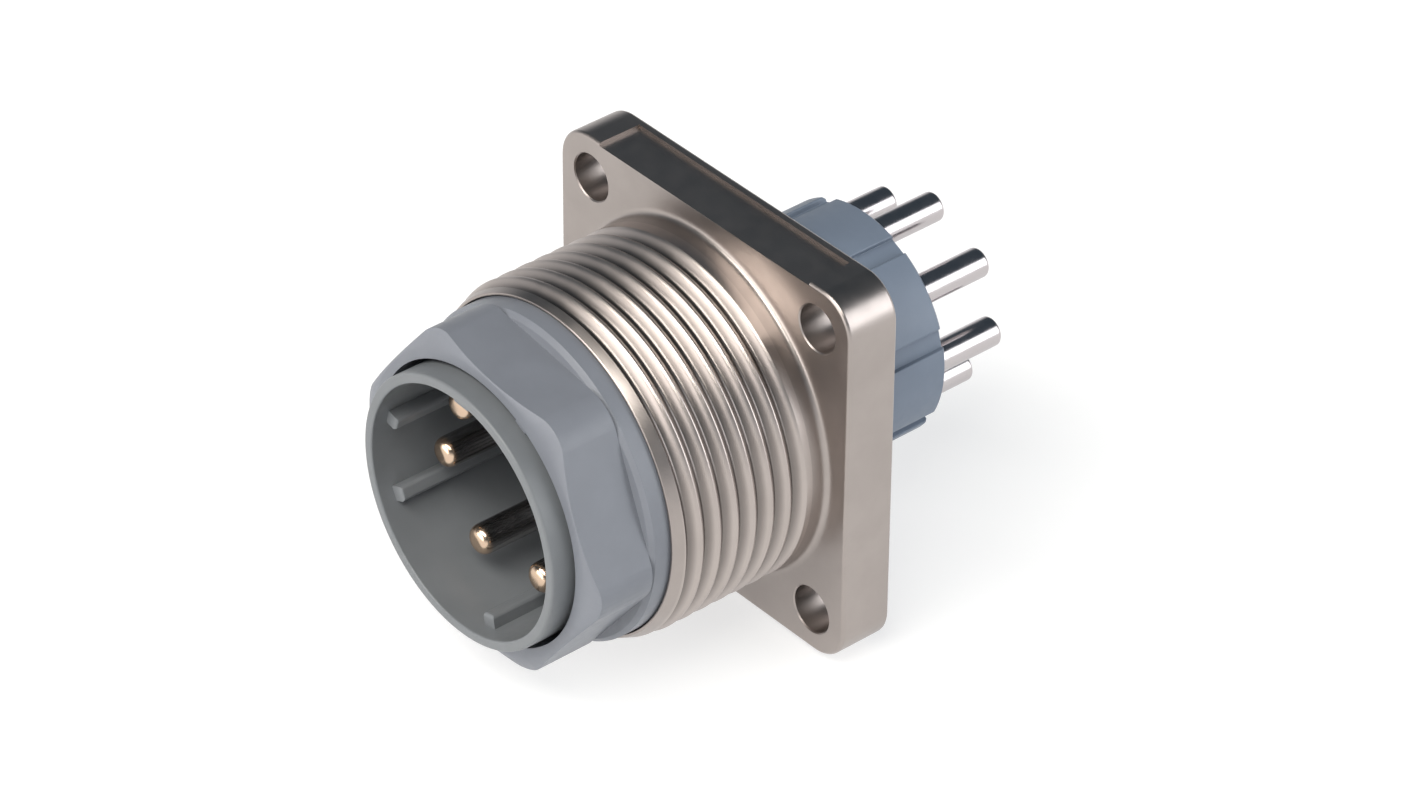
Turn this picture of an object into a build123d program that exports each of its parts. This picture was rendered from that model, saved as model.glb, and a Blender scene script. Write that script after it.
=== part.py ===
from build123d import *
import os
from math import cos, radians, sin

# A panel-mount circular power connector: six contacts and an earth contact.
# Millimetres. The axis is Y: the mating side looks along -Y, the solder pins point along +Y, +Z is up.
# The origin is the middle of the flange's rear face.

# Square flange
flange_side = 27.0
flange_thickness = 3.8
flange_corner_radius = 2.6
flange_edge_round = 0.25
hole_edge_distance = 2.95
hole_radius = 1.6
hole_chamfer = 0.08
label_end_margin = 3.75
label_lip = 0.6
label_depth = 0.22

# Barrel of the housing
barrel_edge_distance = 1.7
barrel_length = 11.8
barrel_front_wall = 0.7
barrel_inner_wall = 1.34
barrel_edge_depth = 0.5
barrel_edge_length = 1.3
barrel_root_bevel = 0.35

# Outer thread
thread_pitch = 1.38
thread_depth = 0.56
thread_crest_width = 0.42
thread_root_width = 0.25
thread_overshoot = 0.3
thread_lead_in = 0.27
thread_turns = 7
thread_start_angle = 250.0

# Clamping ring with its hexagon
hexagon_wall = 0.69
hexagon_corner_angle = 51.8
hexagon_length = 4.5
hexagon_corner_round = 2.6
hexagon_face_inset = 0.15
hexagon_bevel_length = 0.62
collar_length = 2.3
collar_seat_depth = 0.9
collar_play = 0.06
collar_edge_chamfer = 0.3
clamp_tail_length = 4.8
clamp_tail_wall = 1.0
thread_play = 0.05
tooth_angle = 62.0
tooth_width = 1.0
tooth_height = 0.25
tooth_length = 1.2

# Contact carrier with its cup
cup_clearance = 0.34
cup_wall = 0.7
cup_edge_round = 0.2
cup_proud = 1.45
cup_floor_thickness = 2.4
carrier_flange_thickness = 1.4
flange_play = 0.15
key_angles = (165.0, 204.0, 281.0)
key_width = 1.0
key_height = 0.9
key_setback = 1.1
guide_angle = 87.0
guide_width = 1.3
guide_height = 0.45

# Rear insulator
insulator_shoulder_width = 2.36
insulator_length = 9.4
insulator_edge_chamfer = 0.2
insulator_flange_thickness = 2.6
lobe_groove_width = 1.3
lobe_groove_depth = 0.42
insulator_play = 0.15

# Contacts
contact_edge_distance = 2.17
contact_step = 48.0
contact_count = 6
earth_angle = 244.7
pin_radius = 1.0
pin_reach = 9.1
pin_tip_radius = 0.75
tail_reach = 5.84
tail_chamfer = 0.25
contact_collar_radius = 1.6
contact_collar_thickness = 1.4
contact_play = 0.02

# Small inner pieces
washer_thickness = 0.3
seal_groove_width = 1.1
seal_groove_depth = 0.8
seal_setback = 0.8
seal_play = 0.01
spring_thickness = 0.25
spring_width = 2.4
spring_eye_radius = 1.5
spring_tab_length = 0.6

# Places along the axis that follow from the sizes
flange_front = -flange_thickness
barrel_front = flange_front - barrel_length
collar_back = barrel_front + collar_seat_depth
collar_front = collar_back - collar_length
hexagon_front = collar_front - hexagon_length
clamp_back = collar_back + clamp_tail_length
washer_back = clamp_back + washer_thickness
carrier_back = washer_back + carrier_flange_thickness
shoulder_front = carrier_back + insulator_flange_thickness
cup_front = hexagon_front - cup_proud
cup_floor = carrier_back - cup_floor_thickness
pin_front = cup_floor - pin_reach
tail_back = insulator_length + tail_reach

# Sizes across the axis that follow, from the flange's edge inwards
hole_pitch = flange_side - 2 * hole_edge_distance
label_length = flange_side - 2 * label_end_margin
barrel_radius = flange_side / 2 - barrel_edge_distance
seat_radius = barrel_radius - barrel_front_wall
collar_radius = seat_radius - collar_play
stack_bore_radius = barrel_radius - barrel_inner_wall
stack_radius = stack_bore_radius - flange_play
clamp_tail_radius = stack_bore_radius - thread_play
clamp_bore_radius = clamp_tail_radius - clamp_tail_wall
hexagon_across_flats = 2 * (clamp_bore_radius + hexagon_wall)
hexagon_face_radius = hexagon_across_flats / 2 - hexagon_face_inset
cup_radius = clamp_bore_radius - cup_clearance
cup_inner_radius = cup_radius - cup_wall
insulator_radius = stack_radius - insulator_shoulder_width
rear_bore_radius = insulator_radius + insulator_play
contact_ring_radius = insulator_radius - contact_edge_distance

# Angles of the contacts and of the grooves half-way between them
earth_step = (360.0 - (contact_count - 1) * contact_step) / 2
contact_angles = [earth_angle + earth_step + index * contact_step for index in range(contact_count)]
groove_angles = [angle + contact_step / 2 for angle in contact_angles[:-1]]
groove_angles += [earth_angle + earth_step / 2, earth_angle - earth_step / 2]
locating_angle = earth_angle + earth_step / 2


def across(y, angle=0.0):
    """The plane across the axis at y, whose own x points along the angle from +X towards +Z."""
    turn = radians(angle)
    return Plane(origin=(0, y, 0), x_dir=(cos(turn), 0, sin(turn)), z_dir=(0, 1, 0))


def turned(corners):
    """A solid turned round the Y axis from its (radius, y) corners."""
    return revolve(make_face(Polyline(*corners, close=True)), Axis.Y)


def tube(outer, inner, front, back):
    """A plain ring round the axis."""
    return turned([(inner, front), (outer, front), (outer, back), (inner, back)])


def disc(radius, front, back):
    """A plain round bar on the axis."""
    return turned([(0, front), (radius, front), (radius, back), (0, back)])


def bar(front, back, angle, inner, outer, width):
    """A straight bar along the axis, reaching from the inner to the outer radius at an angle."""
    middle = (inner + outer) / 2
    outline = across(front, angle) * Pos(middle, 0) * Rectangle(outer - inner, width)
    return extrude(outline, back - front)


def rods(radius, front, back, angles):
    """Round bars along the axis, one at each angle of the contact ring."""
    bars = []
    for angle in angles:
        bars.append(extrude(across(front, angle) * Pos(contact_ring_radius, 0) * Circle(radius), back - front))
    return bars


def thread_groove():
    """The helical groove of the outer thread, a V with a flat root, both ends at the same side."""
    mouth = (thread_pitch - thread_crest_width) / 2
    root = thread_root_width / 2
    start = barrel_front + thread_lead_in
    root_radius = barrel_radius - thread_depth
    path = Helix(thread_pitch, thread_pitch * thread_turns, root_radius, center=(0, start, 0), direction=(0, 1, 0))
    top = thread_depth + thread_overshoot
    reach = root + (mouth - root) * top / thread_depth
    section = Plane(origin=path @ 0, x_dir=(path @ 0) - Vector(0, start, 0), z_dir=path % 0)
    outline = section * make_face(Polyline((0, -root), (top, -reach), (top, reach), (0, root), close=True))
    helix_start_angle = 90.0
    return Rot(0, helix_start_angle - thread_start_angle, 0) * sweep(outline, path=path, is_frenet=True)


def flange_plate():
    """The square plate with its rounded edges and corners, before its holes."""
    outline = across(flange_front) * RectangleRounded(flange_side, flange_side, flange_corner_radius)
    plate = extrude(outline, flange_thickness)
    rims = plate.edges().filter_by_position(Axis.Y, flange_front, flange_front)
    rims += plate.edges().filter_by_position(Axis.Y, 0, 0)
    return fillet(rims, flange_edge_round)


def label_field():
    """The shallow field in the top edge of the flange, open to the front."""
    length = flange_thickness - label_lip
    field = Box(label_length, length, label_depth, align=(Align.CENTER, Align.MIN, Align.MAX))
    return Pos(0, flange_front, flange_side / 2) * field


def screw_holes():
    """The four clearance holes of the flange, eased at both mouths."""
    half = hole_pitch / 2
    holes = []
    for x in (-half, half):
        for z in (-half, half):
            hole = revolve(make_face(Polyline(
                (0, flange_front), (hole_radius + hole_chamfer, flange_front),
                (hole_radius, flange_front + hole_chamfer), (hole_radius, -hole_chamfer),
                (hole_radius + hole_chamfer, 0), (0, 0), close=True)), Axis.Y)
            holes.append(Pos(x, 0, z) * hole)
    return holes


def housing():
    """Flange and threaded barrel in one piece, with the stepped bore and its locating key."""
    barrel = turned([
        (0, barrel_front), (barrel_radius - barrel_edge_depth, barrel_front),
        (barrel_radius, barrel_front + barrel_edge_length),
        (barrel_radius, flange_front - barrel_root_bevel),
        (barrel_radius + barrel_root_bevel, flange_front), (barrel_radius, 0), (0, 0)])
    shell = flange_plate() + barrel
    bore = turned([
        (0, barrel_front), (seat_radius, barrel_front), (seat_radius, collar_back),
        (stack_bore_radius, collar_back), (stack_bore_radius, shoulder_front),
        (rear_bore_radius, shoulder_front), (rear_bore_radius, 0), (0, 0)])
    shell = shell - bore - screw_holes() - label_field() - thread_groove()
    key_tip = insulator_radius - lobe_groove_depth + insulator_play
    key = bar(shoulder_front, 0, locating_angle, key_tip, rear_bore_radius + insulator_play,
              lobe_groove_width - 2 * insulator_play)
    return shell + key


def clamp_ring():
    """The ring that clamps the carrier: hexagon in front, collar, and the tail that screws into the barrel."""
    half = hexagon_across_flats / 2
    outline = RegularPolygon(half, 6, major_radius=False)
    outline = fillet(outline.vertices(), hexagon_corner_round)
    corner_radius = (half - hexagon_corner_round) / cos(radians(30)) + hexagon_corner_round
    # The cone of the bevel runs on past the corners, to twice its rise, so that it crosses them cleanly.
    rise = corner_radius - hexagon_face_radius
    cone_radius = hexagon_face_radius + 2 * rise
    bevel = turned([
        (0, hexagon_front), (hexagon_face_radius, hexagon_front),
        (cone_radius, hexagon_front + 2 * hexagon_bevel_length), (cone_radius, collar_front), (0, collar_front)])
    hexagon = extrude(across(hexagon_front, hexagon_corner_angle) * outline, hexagon_length) & bevel
    eased_radius = collar_radius - collar_edge_chamfer
    collar = turned([
        (0, collar_front), (eased_radius, collar_front), (collar_radius, collar_front + collar_edge_chamfer),
        (collar_radius, collar_back), (0, collar_back)])
    tail = disc(clamp_tail_radius, collar_back, clamp_back)
    ring = hexagon + collar + tail - disc(clamp_bore_radius, hexagon_front, clamp_back)
    tooth = bar(hexagon_front, hexagon_front + tooth_length, tooth_angle,
                clamp_bore_radius - tooth_height, clamp_bore_radius + tooth_height, tooth_width)
    return ring + tooth


def contact_carrier():
    """The front moulding: a cup with its keys, its floor, and the flange that the ring clamps."""
    rim = cup_edge_round
    body = turned([
        (0, cup_floor), (cup_inner_radius, cup_floor), (cup_inner_radius, cup_front + rim),
        (cup_inner_radius + rim, cup_front), (cup_radius - rim, cup_front), (cup_radius, cup_front + rim),
        (cup_radius, washer_back), (stack_radius, washer_back), (stack_radius, carrier_back), (0, carrier_back)])
    bury = cup_wall / 2
    for angle in key_angles:
        body += bar(cup_front + key_setback, cup_floor, angle,
                    cup_inner_radius - key_height, cup_inner_radius + bury, key_width)
    body += bar(cup_front + rim, cup_floor, guide_angle,
                cup_inner_radius - guide_height, cup_inner_radius + bury, guide_width)
    return body - rods(pin_radius + contact_play, cup_floor, carrier_back, contact_angles + [earth_angle])


def spring_pocket():
    """The room that the earth spring takes in the front face of the rear insulator."""
    play = contact_play
    plate = bar(carrier_back, carrier_back + spring_thickness, earth_angle,
                contact_ring_radius, stack_radius + flange_play, spring_width + 2 * play)
    tab = bar(carrier_back, carrier_back + spring_tab_length + play, earth_angle,
              stack_bore_radius - spring_thickness - 2 * play, stack_radius + flange_play, spring_width + 2 * play)
    return [plate, tab]


def rear_insulator():
    """The rear moulding: a flange inside the barrel and a lobed body that carries the pins out."""
    seal_front = carrier_back + seal_setback
    seal_floor = stack_radius - seal_groove_depth
    edge = insulator_edge_chamfer
    body = turned([
        (0, carrier_back), (stack_radius, carrier_back), (stack_radius, seal_front), (seal_floor, seal_front),
        (seal_floor, seal_front + seal_groove_width), (stack_radius, seal_front + seal_groove_width),
        (stack_radius, shoulder_front), (insulator_radius, shoulder_front),
        (insulator_radius, insulator_length - edge), (insulator_radius - edge, insulator_length),
        (0, insulator_length)])
    for angle in groove_angles:
        body -= bar(shoulder_front, insulator_length, angle, insulator_radius - lobe_groove_depth,
                    insulator_radius + lobe_groove_depth, lobe_groove_width)
    every_angle = contact_angles + [earth_angle]
    collar_room = contact_collar_radius + contact_play
    body -= rods(collar_room, carrier_back, carrier_back + contact_collar_thickness, every_angle)
    body -= rods(pin_radius + contact_play, carrier_back, insulator_length, every_angle)
    return body - spring_pocket()


def contact(angle, collar_front_gap=0.0):
    """One turned contact: domed mating pin, collar, and the solder tail with its eased end."""
    collar_front = carrier_back + collar_front_gap
    collar_rear = carrier_back + contact_collar_thickness
    flat = pin_radius - pin_tip_radius
    tip_back = pin_front + pin_tip_radius
    sides = Polyline(
        (pin_radius, tip_back), (pin_radius, collar_front), (contact_collar_radius, collar_front),
        (contact_collar_radius, collar_rear), (pin_radius, collar_rear), (pin_radius, tail_back - tail_chamfer),
        (pin_radius - tail_chamfer, tail_back), (0, tail_back), (0, pin_front), (flat, pin_front))
    tip = CenterArc((flat, tip_back), pin_tip_radius, -90, 90)
    turned_pin = revolve(make_face([sides, tip]), Axis.Y)
    turn = radians(angle)
    return Pos(contact_ring_radius * cos(turn), 0, contact_ring_radius * sin(turn)) * turned_pin


def slide_washer():
    """The thin washer that lets the ring turn without dragging the carrier round."""
    return tube(stack_radius, cup_radius + contact_play, clamp_back, washer_back)


def housing_seal():
    """The O-ring in the groove of the rear insulator, against the wall of the barrel."""
    floor = stack_radius - seal_groove_depth
    section_radius = (stack_bore_radius - floor) / 2 - seal_play
    middle = carrier_back + seal_setback + seal_groove_width / 2
    ring_radius = (stack_bore_radius + floor) / 2
    return Pos(0, middle, 0) * Rot(90, 0, 0) * Torus(ring_radius, section_radius)


def earth_spring():
    """The strip from the earth contact to the barrel's wall, with a short tab along the wall."""
    reach = stack_bore_radius - contact_play
    [eye] = rods(spring_eye_radius, carrier_back, carrier_back + spring_thickness, [earth_angle])
    strip = bar(carrier_back, carrier_back + spring_thickness, earth_angle, contact_ring_radius, reach, spring_width)
    tab = bar(carrier_back, carrier_back + spring_tab_length, earth_angle, reach - spring_thickness, reach,
              spring_width)
    wall = disc(reach, carrier_back, carrier_back + spring_tab_length)
    return ((eye + strip + tab) & wall) - rods(pin_radius + contact_play, carrier_back,
                                               carrier_back + spring_thickness, [earth_angle])


def main():
    os.makedirs("parts", exist_ok=True)
    pieces = {
        "housing": housing(),
        "clamp_ring": clamp_ring(),
        "slide_washer": slide_washer(),
        "contact_carrier": contact_carrier(),
        "rear_insulator": rear_insulator(),
        "housing_seal": housing_seal(),
        "earth_spring": earth_spring(),
        "earth_contact": contact(earth_angle, spring_thickness),
    }
    for index, angle in enumerate(contact_angles, start=1):
        pieces[f"contact_{index}"] = contact(angle)
    for name, piece in pieces.items():
        export_step(piece, f"parts/{name}.step")


main()
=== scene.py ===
"""Panel-mount circular power connector: shapes, finishes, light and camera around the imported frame."""
import logging
from dataclasses import dataclass, field
from enum import Enum
from math import asin, cos, pi, radians, sin, tan
from typing import Callable, NamedTuple, Sequence

import bmesh
import bpy
from mathutils import Matrix, Vector


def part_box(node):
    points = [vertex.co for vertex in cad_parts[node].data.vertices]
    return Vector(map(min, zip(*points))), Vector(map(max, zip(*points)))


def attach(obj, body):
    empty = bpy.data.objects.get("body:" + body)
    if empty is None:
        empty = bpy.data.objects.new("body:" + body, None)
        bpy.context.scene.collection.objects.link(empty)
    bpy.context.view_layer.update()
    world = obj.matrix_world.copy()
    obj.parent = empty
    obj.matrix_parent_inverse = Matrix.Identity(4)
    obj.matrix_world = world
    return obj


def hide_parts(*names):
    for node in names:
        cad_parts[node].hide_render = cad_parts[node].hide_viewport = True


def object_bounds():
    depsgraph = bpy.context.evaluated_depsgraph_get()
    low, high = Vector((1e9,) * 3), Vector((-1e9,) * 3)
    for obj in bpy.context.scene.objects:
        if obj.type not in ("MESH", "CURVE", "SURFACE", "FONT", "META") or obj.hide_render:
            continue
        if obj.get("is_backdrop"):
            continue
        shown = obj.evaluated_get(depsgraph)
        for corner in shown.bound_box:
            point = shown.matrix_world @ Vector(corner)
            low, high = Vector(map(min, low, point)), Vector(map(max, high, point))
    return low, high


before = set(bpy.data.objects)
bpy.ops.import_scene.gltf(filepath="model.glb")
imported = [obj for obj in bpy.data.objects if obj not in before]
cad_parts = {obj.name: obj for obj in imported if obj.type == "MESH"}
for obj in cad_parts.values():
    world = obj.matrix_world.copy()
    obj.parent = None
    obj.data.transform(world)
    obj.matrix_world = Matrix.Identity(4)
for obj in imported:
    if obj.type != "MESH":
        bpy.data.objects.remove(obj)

# Every size is in millimetres and every angle in degrees, unless its name or comment says otherwise.
MM = 0.001

# Number of faces round the axis.
OUTSIDE_STEPS = 160
BORE_STEPS = 128
SMALL_STEPS = 48
CONTACT_HOLE_STEPS = 40

# How exactly an edge has to lie, in the tests that choose edges.
PARALLEL = 0.9
SQUARE = 0.1
NEAR = 0.01

log = logging.getLogger("connector")

Piece = bpy.types.Object
Material = bpy.types.Material
Socket = bpy.types.NodeSocket
Point = tuple[float, float]
Triple = tuple[float, float, float]
EdgeTest = Callable[[Vector, Vector], bool]


class Cut(Enum):
    """What a second solid does to the first one."""

    JOIN = "UNION"
    TAKE_AWAY = "DIFFERENCE"
    KEEP_COMMON = "INTERSECT"


class Ends(NamedTuple):
    """Where a CAD node starts and stops along the axis."""

    front: float
    back: float


def ends(node: str) -> Ends:
    """Reads where a CAD node starts and stops along the axis, to a micrometre."""
    lowest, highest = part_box(node)
    return Ends(round(lowest[1] / MM, 3), round(highest[1] / MM, 3))


def make_active(piece: Piece) -> None:
    """Selects one object alone and makes it the active one.

    Args:
        piece: The object to work on.
    """
    bpy.ops.object.select_all(action="DESELECT")
    piece.select_set(True)
    bpy.context.view_layer.objects.active = piece


def settle(piece: Piece) -> None:
    """Moves an object's place, turn and scale into its mesh."""
    make_active(piece)
    bpy.ops.object.transform_apply(location=True, rotation=True, scale=True)


def copied(piece: Piece, name: str, place: Vector) -> Piece:
    """Copies an object that stands on the axis, with its own mesh, to another place.

    Args:
        piece: The object to copy.
        name: Name of the copy.
        place: Where the copy goes, in metres.

    Returns:
        The copy.
    """
    make_active(piece)
    bpy.ops.object.duplicate(linked=False)
    twin = bpy.context.object
    twin.data = piece.data.copy()
    twin.name = name
    twin.location = place
    settle(twin)
    return twin


def clean(piece: Piece, merge: float = 0.0005) -> None:
    """Merges doubled points, drops loose edges and turns every face outwards.

    Args:
        piece: The object to clean.
        merge: Points closer than this become one.
    """
    make_active(piece)
    bpy.ops.object.mode_set(mode="EDIT")
    bpy.ops.mesh.select_all(action="SELECT")
    bpy.ops.mesh.remove_doubles(threshold=merge * MM)
    bpy.ops.mesh.delete_loose(use_verts=True, use_edges=True, use_faces=False)
    bpy.ops.mesh.select_all(action="SELECT")
    bpy.ops.mesh.normals_make_consistent(inside=False)
    bpy.ops.object.mode_set(mode="OBJECT")


def apply_modifier(piece: Piece, modifier: bpy.types.Modifier) -> None:
    """Applies one modifier of an object."""
    make_active(piece)
    bpy.ops.object.modifier_apply(modifier=modifier.name)


def section(name: str, points: Sequence[Point], filled: bool = False) -> Piece:
    """A closed outline in the XY plane: a circle primitive whose points are moved to their places.

    Args:
        name: Name of the new object.
        points: (x, y) corners, in order.
        filled: Whether the outline carries a face.

    Returns:
        The outline as a mesh object.
    """
    bpy.ops.object.select_all(action="DESELECT")
    fill = "NGON" if filled else "NOTHING"
    bpy.ops.mesh.primitive_circle_add(vertices=len(points), radius=MM, fill_type=fill)
    outline = bpy.context.object
    outline.name = name
    for vertex, (x, y) in zip(outline.data.vertices, points):
        vertex.co = (x * MM, y * MM, 0.0)
    return outline


def turned(name: str, points: Sequence[Point], steps: int) -> Piece:
    """Spins an outline round the Y axis.

    Args:
        name: Name of the new object.
        points: (radius, y) corners of a closed outline.
        steps: Number of faces round the axis.

    Returns:
        The turned solid.
    """
    piece = section(name, points)
    make_active(piece)
    bpy.ops.object.mode_set(mode="EDIT")
    bpy.ops.mesh.select_all(action="SELECT")
    bpy.ops.mesh.spin(steps=steps, angle=2 * pi, center=(0, 0, 0), axis=(0, 1, 0))
    bpy.ops.object.mode_set(mode="OBJECT")
    clean(piece)
    return piece


def rod(name: str, radius: float, front: float, back: float, steps: int) -> Piece:
    """A plain round bar on the axis, from front to back, with a number of faces round it."""
    return turned(name, [(0, front), (radius, front), (radius, back), (0, back)], steps)


def prism(name: str, points: Sequence[Point], start: float, end: float) -> Piece:
    """Extrudes an outline that stands across the axis.

    Args:
        name: Name of the new object.
        points: (x, z) corners, in order.
        start: Where the outline is drawn along Y.
        end: Where its extrusion ends along Y.

    Returns:
        The solid.
    """
    piece = section(name, points, filled=True)
    piece.rotation_euler = (pi / 2, 0, 0)
    piece.location = (0, start * MM, 0)
    settle(piece)
    bpy.ops.object.mode_set(mode="EDIT")
    bpy.ops.mesh.select_all(action="SELECT")
    bpy.ops.mesh.extrude_region_move(TRANSFORM_OT_translate={"value": (0, (end - start) * MM, 0)})
    bpy.ops.object.mode_set(mode="OBJECT")
    clean(piece)
    return piece


def bar(name: str, front: float, back: float, angle: float, inner: float, outer: float,
        width: float) -> Piece:
    """A block along the axis, standing at an angle from the inner to the outer radius.

    Args:
        name: Name of the new object.
        front: Its front end along Y.
        back: Its back end along Y.
        angle: Where it stands, from +X towards +Z.
        inner: Its inner radius.
        outer: Its outer radius.
        width: Its width across the radius.

    Returns:
        The block.
    """
    bpy.ops.object.select_all(action="DESELECT")
    middle = (inner + outer) / 2
    turn = radians(angle)
    place = (middle * cos(turn) * MM, (front + back) / 2 * MM, middle * sin(turn) * MM)
    bpy.ops.mesh.primitive_cube_add(size=1, location=place, rotation=(0, -turn, 0),
                                    scale=((outer - inner) * MM, (back - front) * MM, width * MM))
    piece = bpy.context.object
    piece.name = name
    settle(piece)
    return piece


def round_corner(corner: Point, before: Point, after: Point, radius: float, spans: int) -> list[Point]:
    """The points of an arc that rounds one corner of an outline.

    Args:
        corner: The sharp corner.
        before: The corner before it.
        after: The corner after it.
        radius: How far from the corner the arc starts.
        spans: Number of spans of the arc.

    Returns:
        The points of the arc, in order.
    """
    middle = Vector(corner)
    start = middle + (Vector(before) - middle).normalized() * radius
    end = middle + (Vector(after) - middle).normalized() * radius
    arc = []
    for step in range(spans + 1):
        t = step / spans
        arc.append(tuple((1 - t) ** 2 * start + 2 * t * (1 - t) * middle + t ** 2 * end))
    return arc


def softened(points: Sequence[Point], radii: dict[int, float], spans: int) -> list[Point]:
    """Rounds chosen corners of an outline.

    Args:
        points: The sharp outline.
        radii: Corner number to its rounding.
        spans: Spans of each arc.

    Returns:
        The outline with its arcs.
    """
    result: list[Point] = []
    count = len(points)
    for index, corner in enumerate(points):
        if index in radii:
            after = points[(index + 1) % count]
            result += round_corner(corner, points[index - 1], after, radii[index], spans)
        else:
            result.append(corner)
    return result


def combine(first: Piece, second: Piece, cut: Cut) -> None:
    """Joins, takes away or intersects, and deletes the second solid.

    Args:
        first: The solid that stays.
        second: The solid that works on it.
        cut: What the second one does.
    """
    modifier = first.modifiers.new("combine", "BOOLEAN")
    modifier.operation = cut.value
    modifier.solver = "EXACT"
    modifier.object = second
    apply_modifier(first, modifier)
    bpy.data.objects.remove(second)


def runs_along_axis(_middle: Vector, along: Vector) -> bool:
    """Whether an edge runs along the Y axis."""
    return abs(along.y) > PARALLEL


def bevel_edges(piece: Piece, test: EdgeTest, width: float, segments: int) -> None:
    """Rounds the edges that pass a test.

    Args:
        piece: The object to work on.
        test: Takes an edge's middle, in millimetres, and its direction.
        width: Size of the rounding.
        segments: Number of faces across the rounding.
    """
    make_active(piece)
    bpy.ops.object.mode_set(mode="EDIT")
    bpy.ops.mesh.select_mode(type="EDGE")
    bpy.ops.mesh.select_all(action="DESELECT")
    mesh = bmesh.from_edit_mesh(piece.data)
    for edge in mesh.edges:
        start, end = (vertex.co for vertex in edge.verts)
        edge.select = test((start + end) / (2 * MM), (end - start).normalized())
    bmesh.update_edit_mesh(piece.data)
    bpy.ops.mesh.bevel(offset=width * MM, segments=segments, profile=0.5, affect="EDGES", clamp_overlap=True)
    bpy.ops.object.mode_set(mode="OBJECT")


def soften_edges(piece: Piece, width: float, segments: int, angle: float = 32.0) -> None:
    """Rounds every sharp edge of a finished solid a little.

    Args:
        piece: The object to soften.
        width: Size of the rounding.
        segments: Faces across the rounding.
        angle: Edges sharper than this are rounded.
    """
    modifier = piece.modifiers.new("soften", "BEVEL")
    modifier.width = width * MM
    modifier.segments = segments
    modifier.limit_method = "ANGLE"
    modifier.angle_limit = radians(angle)
    modifier.use_clamp_overlap = True
    apply_modifier(piece, modifier)


def finish_shading(piece: Piece, angle: float = 32.0) -> None:
    """Smooth shading with crisp edges and flat faces that stay flat.

    Args:
        piece: The object to shade.
        angle: Edges sharper than this stay crisp.
    """
    make_active(piece)
    bpy.ops.object.shade_smooth_by_angle(angle=radians(angle), keep_sharp_edges=True)
    modifier = piece.modifiers.new("normals", "WEIGHTED_NORMAL")
    modifier.keep_sharp = True
    modifier.mode = "FACE_AREA"
    apply_modifier(piece, modifier)


def hand_over(piece: Piece, material: Material, node: str) -> None:
    """Gives a finished piece its material, body and slot, and hides the CAD node that it stands for.

    Args:
        piece: The finished object.
        material: Its material.
        node: The CAD node that it replaces.
    """
    piece.data.materials.clear()
    piece.data.materials.append(material)
    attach(piece, "root")
    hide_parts(node)
    log.info("%s: %d faces", piece.name, len(piece.data.polygons))


class NodeSheet:
    """A node tree that is built by short calls."""

    def __init__(self, tree: bpy.types.NodeTree) -> None:
        """Empties the node tree of a material or a world."""
        self.tree = tree
        self.tree.nodes.clear()

    def link(self, source: Socket, target: Socket) -> None:
        """Connects two sockets."""
        self.tree.links.new(source, target)

    def node(self, kind: str, inputs: dict[str | int, object], output: str, **settings: str) -> Socket:
        """Adds a node.

        Args:
            kind: What kind of node it is, in Blender's own word.
            inputs: Name or number of each input to its value, or to the socket that feeds it.
            output: Name of the output that is wanted.
            settings: The node's own settings, such as its operation.

        Returns:
            The wanted output.
        """
        node = self.tree.nodes.new("ShaderNode" + kind)
        for name, value in settings.items():
            setattr(node, name, value)
        for key, value in inputs.items():
            if isinstance(value, Socket):
                self.link(value, node.inputs[key])
            else:
                node.inputs[key].default_value = value
        return node.outputs[output]


@dataclass(frozen=True)
class Grain:
    """One noise: the size of its features, its octaves, and how much finer it runs along each axis."""

    size: float
    detail: float
    stretch: Triple = (1.0, 1.0, 1.0)


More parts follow.
